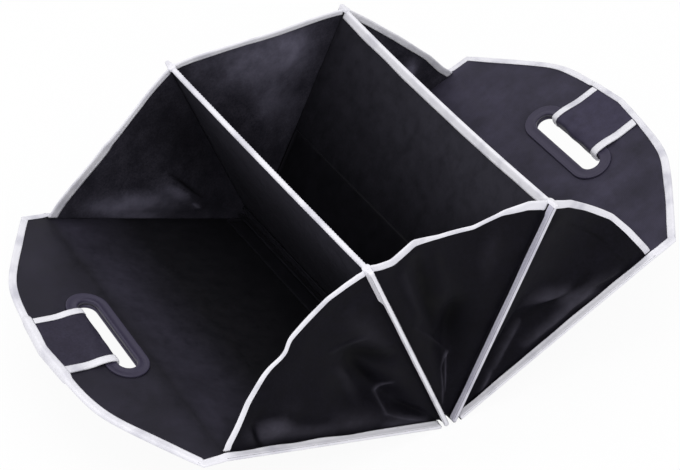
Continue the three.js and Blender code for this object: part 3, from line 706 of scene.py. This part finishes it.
# Tape along the outline of each end panel
def outlineTape(panel, name, seed):
    # Up the front edge, over the arch and down the back. At each point the tape goes in along
    # the mitre of the two edges that meet there. It swells over the strap's ends.
    upright = np.linspace(tapeLook["start"], rim + archTop(edgeY), 90)
    archY = np.linspace(-edgeY, edgeY, 150)[1:-1]
    y = np.concatenate([np.full_like(upright, -edgeY), archY, np.full_like(upright, edgeY)])
    r = np.concatenate([upright, rim + archTop(archY), upright[::-1]])
    line = np.stack([y, r], -1)
    step = np.diff(line, axis=0)
    side = np.stack([step[:, 1], -step[:, 0]], -1)
    side /= np.linalg.norm(side, axis=1, keepdims=True)
    before, after = np.concatenate([side[:1], side]), np.concatenate([side, side[-1:]])
    inward = (before + after) / (1 + (before * after).sum(1, keepdims=True))
    inner = 1 if panel["x"] < 0 else -1

    def place(depth, offset):
        return onPanel(panel, y[:, None] + depth * inward[:, :1],
                       r[:, None] + depth * inward[:, 1:], offset * inner)

    bare = panelThick / 2 + gap
    onSeam = 1 - smoothStep(r, rim - 2, rim + 6)
    strapSide = gripForm["strapWide"] / 2 + 2 * gap + 2 * tapeThick
    strap = (1 - smoothStep(np.abs(y), strapSide, strapSide + 6)) * (r > rim)
    strapClear = 2 * gap + tapeThick + gripForm["strapThick"]
    tapePiece(
        name, place, runOf(line), seamReach, bare + onSeam * (body["wallCloth"] + gap)
        + strap * strapClear, bare + strap * strapClear, [f"{panel['name']}_tape"], seed)


# shade is painted shade on the faces of the front tape: divider_2's second face is drawn grey, as
# it is turned from the light
dividerLook = {
    "divider_1": {"reach": 2.6, "frontWide": 10.5, "frontThin": 2.2, "stepAt": 206,
                  "stepOver": 5, "shade": (0, 0)},
    "divider_2": {"reach": 8.5, "frontWide": 6.5, "frontThin": 5.6, "stepAt": 238,
                  "stepOver": 3, "shade": (0, 0.6)},
}


def dividerTapes(panel, seed):
    # One tape over the top edge, and one down each outer edge with both walls sewn into it. The
    # front one is wide at its top, where it is folded over once more. Both close over the rims.
    look = dividerLook[panel["name"]]
    bare = panelThick / 2 + gap
    withWalls = bare + body["wallCloth"] + gap
    topEnd = wallY - seamGap
    y = np.linspace(-topEnd, topEnd, 110)
    top = topOf(panel, y)[:, None]

    def overTop(depth, offset):
        return onPanel(panel, y[:, None], top - depth, offset)

    tapePiece(f"{panel['name']}_top_binding", overTop, y, look["reach"], bare, bare,
              [f"{panel['name']}_top_tape"], seed)
    r = np.linspace(tapeLook["start"], rim, 110)
    for side, word in ((-1, "front"), (1, "back")):
        step = smoothStep(r, look["stepAt"] - look["stepOver"], look["stepAt"])
        reach = look["frontThin"] + (look["frontWide"] - look["frontThin"]) * step

        def overEdge(depth, offset, side=side):
            return onPanel(panel, side * (edgeY - depth), r[:, None], offset)

        tapePiece(f"{panel['name']}_{word}_binding", overEdge, r, reach if side < 0 else seamReach,
                  withWalls, withWalls, [f"{panel['name']}_{word}_tape"], seed + side,
                  look["shade"] if side < 0 else (0, 0))
        lidPiece(panel, f"{panel['name']}_{word}_lid", side, withWalls)


def lidPiece(panel, name, side, clear):
    # The tape's turned-in end over the rims: a low dome on a rounded oblong, 13 mm deep
    turn = np.linspace(0, 2 * np.pi, 40, endpoint=False)[:, None]
    share = np.array([[0.05, 0.35, 0.7, 0.9, 0.98, 1, 1]])
    high = np.array([[1.2, 1.18, 1.08, 0.85, 0.5, 0.1, -2.5]])
    inside = 13
    wide, long = clear + tapeThick, (inside + gap + tapeThick) / 2
    # superellipse of power 4: x = w cos^(1/2), y = l sin^(1/2), with their signs kept
    x = np.sign(np.cos(turn)) * np.abs(np.cos(turn)) ** 0.5
    y = np.sign(np.sin(turn)) * np.abs(np.sin(turn)) ** 0.5
    across = wide * share * x
    depth = (inside - gap - tapeThick) / 2 + long * share * y
    grid = onPanel(panel, side * (edgeY - depth), rim + gap + high, across)
    makePiece(name, grid, gridFaces(*grid.shape[:2], wrapRows=True), bindingTape,
              uv=np.stack([across, depth], -1))


for panel in panels:
    if panel["end"]:
        outlineTape(panel, f"{panel['name']}_outline_binding", 70 + (panel["x"] > 0))
    else:
        dividerTapes(panel, 80 + 5 * (panel["x"] > 0))
print("bindings ready")

# Floor cloth: flat hems under the end panels, pleats in the left compartment, and one tall fold
# leaning on the right panel in the other two
floorForm = {"hem": 9, "inset": 6, "fold": 109, "foldGap": 2.4, "lean": 0.8, "pleatTop": 34,
             "pleatFoot": 14, "rows": 60, "rounds": 3,
             # painted shade over the middle and right compartments, and a band of painted light at
             # one height on the rest
             "shadePast": -4, "dark": -0.45, "lightPaint": 0.2, "lightPaintAt": 40, "lightPaintWide": 14}


def roundedLine(line, times):
    # Corner cutting: each stretch of the line keeps its middle half, its ends stay
    for _ in range(times):
        near, far = line[:-1], line[1:]
        cut = np.stack([near * 0.75 + far * 0.25, near * 0.25 + far * 0.75], 1)
        line = np.concatenate([line[:1], cut.reshape(-1, *line.shape[1:]), line[-1:]])
    return line


def floorLine(y):
    # The cloth's line across the organizer at each y: hem, under each foot, and up between
    clear = gap + body["floorCloth"] / 2
    top, low = floorForm["pleatTop"], floorForm["pleatFoot"]

    def foot(index, side):
        return onPanel(panels[index], y, -clear, side * floorOffset)

    def inBay(bay, across, r):
        left = onPanel(panels[bay], y, r, floorOffset)
        right = onPanel(panels[bay + 1], y, r, -floorOffset)
        return left + (right - left) * across

    def onGround(x):
        return np.stack([np.full_like(y, x), y, np.full_like(y, underFloor)], -1)

    def fold(bay):
        ridge, apart, lean = floorForm["fold"], floorForm["foldGap"], floorForm["lean"]
        heights = [3, 14, ridge * 0.4, ridge * 0.75, ridge]

        def beside(r, away):
            left, right = inBay(bay, 0, r), inBay(bay, 1, r)
            wide = np.linalg.norm(right - left, axis=-1, keepdims=True)
            return right + (left - right) * np.minimum(away / wide, 1)

        return [*(beside(r, apart + lean) for r in heights), beside(ridge + 1, apart / 2 + lean),
                *(beside(r, lean) for r in heights[::-1])]

    pleats = [(0, 3), (0.01, top - 3), (0.06, top), (0.12, top - 3), (0.3, low + 1.5),
              (0.36, low), (0.42, low + 1.5), (0.46, top - 8), (0.52, top - 6), (0.58, top - 8),
              (0.62, low + 1.5), (0.68, low), (0.74, low + 1.5), (0.86, top - 5),
              (0.92, top - 2), (0.98, top - 5), (1, 3)]
    lowCorner = floorOffset * np.cos(lowLean)
    return np.stack([
        onGround(-endFoot - floorForm["hem"]), onGround(-endFoot - lowCorner / 2), foot(0, 1),
        *[inBay(0, across, r) for across, r in pleats], foot(1, -1), foot(1, 1), *fold(1),
        foot(2, -1), foot(2, 1), *fold(2), foot(3, -1), onGround(endFoot + lowCorner / 2),
        onGround(endFoot + floorForm["hem"])])


floorEnd = wallY - floorForm["inset"]
floorY = np.linspace(-floorEnd, floorEnd, floorForm["rows"])
floorGrid = roundedLine(floorLine(floorY), floorForm["rounds"])
floorRun = runOf(floorGrid[:, floorForm["rows"] // 2])
# painted light: a lighter band at one height
floorPaintedLight = floorForm["lightPaint"] * np.exp(
    -((floorGrid[..., 2] - floorForm["lightPaintAt"]) / floorForm["lightPaintWide"]) ** 2)
floorPiece = makePiece(
    "folded_floor_cloth", floorGrid, gridFaces(*floorGrid.shape[:2]), dividerCanvas,
    ["floor_cloth"], np.stack(np.broadcast_arrays(floorRun[:, None], floorY[None, :]), -1),
    body["floorCloth"],
    # painted shade over the middle and right compartments, painted light on the rest
    paintedLight=np.where(floorGrid[..., 0] > floorForm["shadePast"], floorForm["dark"], floorPaintedLight))
print("floor ready, cloth length", round(float(floorRun[-1])), "mm")


# Grips: a plastic ring on each face of the flap, round the slot, with a collar into it
def aroundSlot(turn, out):
    # A slot with round ends, grown by out: the straight parts and the half circles share the
    # way round by their lengths at the slot's own edge
    high, long = gripForm["slotHigh"], gripForm["slotLong"]
    straight, half = long - high, np.pi * high / 2
    at = (turn % 1) * (2 * straight + 2 * half)
    radius = high / 2 + out
    first = at < straight
    second = (at >= straight) & (at < straight + half)
    third = (at >= straight + half) & (at < 2 * straight + half)
    bow1, bow2 = (at - straight) / high * 2, (at - 2 * straight - half) / high * 2
    x = np.where(first, at - straight / 2, np.where(
        second, straight / 2 + radius * np.sin(bow1), np.where(
            third, 1.5 * straight + half - at, -straight / 2 - radius * np.sin(bow2))))
    rise = np.where(first, -radius, np.where(
        second, -radius * np.cos(bow1), np.where(third, radius, radius * np.cos(bow2))))
    return x, rise


def ringPiece(panel, name, side, stands):
    # The band's section goes from the collar's foot up the hole, over a rounded inner lip, down
    # a shallow dish to a rounded outer edge and back underneath
    band, thick, lip = gripForm["band"], gripForm["thick"], gripForm["lip"]
    out = np.array([
        -lip, -lip, -lip + 0.2, -lip + 0.7, 1.2, 2.2, 3.4, 5, 8, band - 3.6, band - 2.4,
        band - 1.6, band - 1, band - 0.75, band - 0.6, band - 0.6, band - 1, 6, 0.5, 0.1, 0.0])
    over = np.array([-0.9, -0.25, 0.35, 0.5, 0.35, -0.1, -0.2, -0.1, 0.1, -0.2, 0.15, -0.05,
                     -0.4, -0.9])
    high = np.concatenate([[-1.6], thick + over, [0.3, 0.05, 0.05, 0.05, -0.1, -1.6]])
    turn = np.linspace(0, 1, gripForm["around"], endpoint=False)[:, None]
    x, rise = aroundSlot(turn, out[None, :])
    lift = panelThick / 2 + gap + high[None, :]
    grid = onPanel(panel, x, rim + gripForm["slotRise"] + rise, side * lift)
    makePiece(name, grid, gridFaces(*grid.shape[:2], True, True), gripPlastic,
              stands, closed=True)


# Strap: from under the outline tape, over the ring, through the slot and back up outside
def strapLine(y, tuck):
    # Offset across the panel and height past the rim: down from under the tape, over the ring's
    # band, through the slot along its upper side, and the same way up on the other face
    ringThick, band = gripForm["thick"], gripForm["band"]
    clear = 2 * gap + tapeThick + gripForm["strapThick"] / 2
    wide = panelThick / 2 + gap + ringThick + 0.4 + clear
    narrow = panelThick / 2 + clear
    hole = gripForm["slotRise"] + gripForm["slotHigh"] / 2 - gripForm["lip"]
    low, ringTop = hole - clear, hole + band
    top = archTop(y) - tuck
    half = [(narrow, top), (narrow, top - 10), (narrow, ringTop + gripForm["landing"] + 3),
            (wide - 0.5, ringTop + 4), (wide, ringTop - 3), (wide, low + 6),
            (wide - 0.9, low + 1.6), (wide - 3.2, low)]
    offsets = np.array([o for o, e in half] + [-o for o, e in half[::-1]])[:, None] + 0 * y
    heights = np.stack([e + 0 * y for o, e in half + half[::-1]])
    return roundedLine(np.stack([offsets, heights], -1), 2)


def onStrap(panel, y, tuck, out):
    # The strap's line at each y, stepped out square to it by out
    line = strapLine(y if y.ndim == 1 else y[0], tuck)
    run = np.gradient(line, axis=0)
    square = np.stack([-run[..., 1], run[..., 0]], -1)
    square /= np.linalg.norm(square, axis=-1, keepdims=True)
    line = line + out[..., None] * square
    return onPanel(panel, y, rim + line[..., 1], line[..., 0])


def strapPieces(panel, seed):
    # The cloth, then a tape over each of its long edges, which ends against the outline's tape
    wide = gripForm["strapWide"] / 2
    columns = gripForm["strapColumns"]
    y = np.linspace(-wide, wide, columns)
    count = len(strapLine(y, 0))
    acrossShare, alongShare = np.linspace(0, 1, columns), np.linspace(0, 1, count)[:, None]
    loose = np.sin(np.pi * acrossShare) * np.sin(np.pi * alongShare)
    out = gripForm["strapUneven"] * loose * ripple(
        seed, y[None, :], gripForm["strapLong"] * alongShare, gripForm["unevenSize"])
    grid = onStrap(panel, y, gripForm["tuck"], out)
    run = runOf(grid[:, columns // 2 - 1])
    strap = makePiece(
        f"{panel['name']}_pull_strap", grid, gridFaces(*grid.shape[:2]), strapCanvas,
        [f"{panel['name']}_strap"], np.stack(np.broadcast_arrays(y[None, :], run[:, None]), -1),
        gripForm["strapThick"], paintedLight=0 * grid[..., 0] + gripForm["strapLightPaint"][panel["name"]])
    half = gripForm["strapThick"] / 2 + gap
    for side, word in ((-1, "front"), (1, "back")):
        def place(depth, offset, side=side):
            return onStrap(panel, side * (wide - depth), seamReach + 2 * gap, offset)

        tapePiece(f"{panel['name']}_strap_{word}_binding", place, run, gripForm["strapShown"],
                  half, half, [f"{panel['name']}_strap_{word}_tape"], seed + side)


for panel in panels:
    if not panel["end"]:
        continue
    inner = 1 if panel["x"] < 0 else -1
    for side, word in ((inner, "inner"), (-inner, "outer")):
        ringPiece(panel, f"{panel['name']}_grip_{word}_ring", side,
                  [f"{panel['name']}_grip_{word}_half"])
    strapPieces(panel, 90 + 4 * (panel["x"] > 0))
threadPiece("binding_stitches")
print("grips, straps and stitches ready")

# White studio: the floor and the world look white to the camera and in reflections
studio = {"worldLight": 0.75, "floorGlow": 0.94, "floorHalf": 6}


def plainlySeen(tree):
    # 1 for a ray from the camera, by reflection or through something clear, else 0
    rays = addNode(tree, "ShaderNodeLightPath").outputs
    seen = addNode(tree, "ShaderNodeMath", {"operation": "MAXIMUM"},
                   {0: rays["Is Camera Ray"], 1: rays["Is Glossy Ray"]})
    return addNode(tree, "ShaderNodeMath", {"operation": "MAXIMUM"},
                   {0: seen.outputs[0], 1: rays["Is Transmission Ray"]}).outputs[0]


world = bpy.data.worlds.new("studio")
bpy.context.scene.world = world
world.use_nodes = True
worldTree = world.node_tree
backdrop = worldTree.nodes["Background"]
level = addNode(worldTree, "ShaderNodeMapRange", {"To Min": studio["worldLight"], "To Max": 1},
                {"Value": plainlySeen(worldTree)})
worldTree.links.new(level.outputs["Result"], backdrop.inputs["Strength"])
backdrop.inputs["Color"].default_value = (1, 1, 1, 1)

floorMesh = bpy.data.meshes.new("studio floor")
half = studio["floorHalf"]
floorMesh.from_pydata(
    [(-half, -half, 0), (half, -half, 0), (half, half, 0), (-half, half, 0)], [], [(0, 1, 2, 3)])
studioFloor = bpy.data.objects.new("studio_floor", floorMesh)
bpy.context.scene.collection.objects.link(studioFloor)
floorPaper = bpy.data.materials.new("white paper floor")
floorPaper.use_nodes = True
paperTree = floorPaper.node_tree
paperTree.nodes.clear()
paper = addNode(paperTree, "ShaderNodeBsdfDiffuse", {"Color": hexColour("#f4f4f6")})
glow = addNode(paperTree, "ShaderNodeEmission", {"Color": (1, 1, 1, 1), "Strength": 1})
seenPaper = addNode(paperTree, "ShaderNodeMath", {"operation": "MULTIPLY", 1: studio["floorGlow"]},
                    {0: plainlySeen(paperTree)})
paperMix = addNode(paperTree, "ShaderNodeMixShader", {}, {
    0: seenPaper.outputs[0], 1: paper.outputs[0], 2: glow.outputs[0]})
addNode(paperTree, "ShaderNodeOutputMaterial", {}, {"Surface": paperMix.outputs[0]})
floorMesh.materials.append(floorPaper)


def softLight(name, place, target, size, power):
    lamp = bpy.data.lights.new(name, "AREA")
    lamp.shape = "DISK"
    lamp.size = size
    lamp.energy = power
    holder = bpy.data.objects.new(name, lamp)
    bpy.context.scene.collection.objects.link(holder)
    holder.location = place
    holder.rotation_euler = (Vector(target) - Vector(place)).to_track_quat("-Z", "Y").to_euler()


softLight("overhead softbox", (-0.5, 0.1, 2.4), (0, 0, 0.1), 1.8, 16)
softLight("front softbox", (-1.0, -1.9, 2.2), (0, 0, 0.1), 1.8, 22)

# Camera, long lens from the front left, 40 degrees down
view = {"place": (-1.204, -1.938, 2.014), "ahead": (0.4037, 0.6527, -0.6411), "lens": 159.1}
camera = bpy.data.objects.new("camera", bpy.data.cameras.new("camera"))
bpy.context.scene.collection.objects.link(camera)
camera.location = view["place"]
camera.rotation_euler = Vector(view["ahead"]).to_track_quat("-Z", "Y").to_euler()
camera.data.sensor_width = 36
camera.data.lens = view["lens"]
camera.data.clip_end = 50
bpy.context.scene.camera = camera
bpy.context.scene.view_settings.view_transform = "Standard"
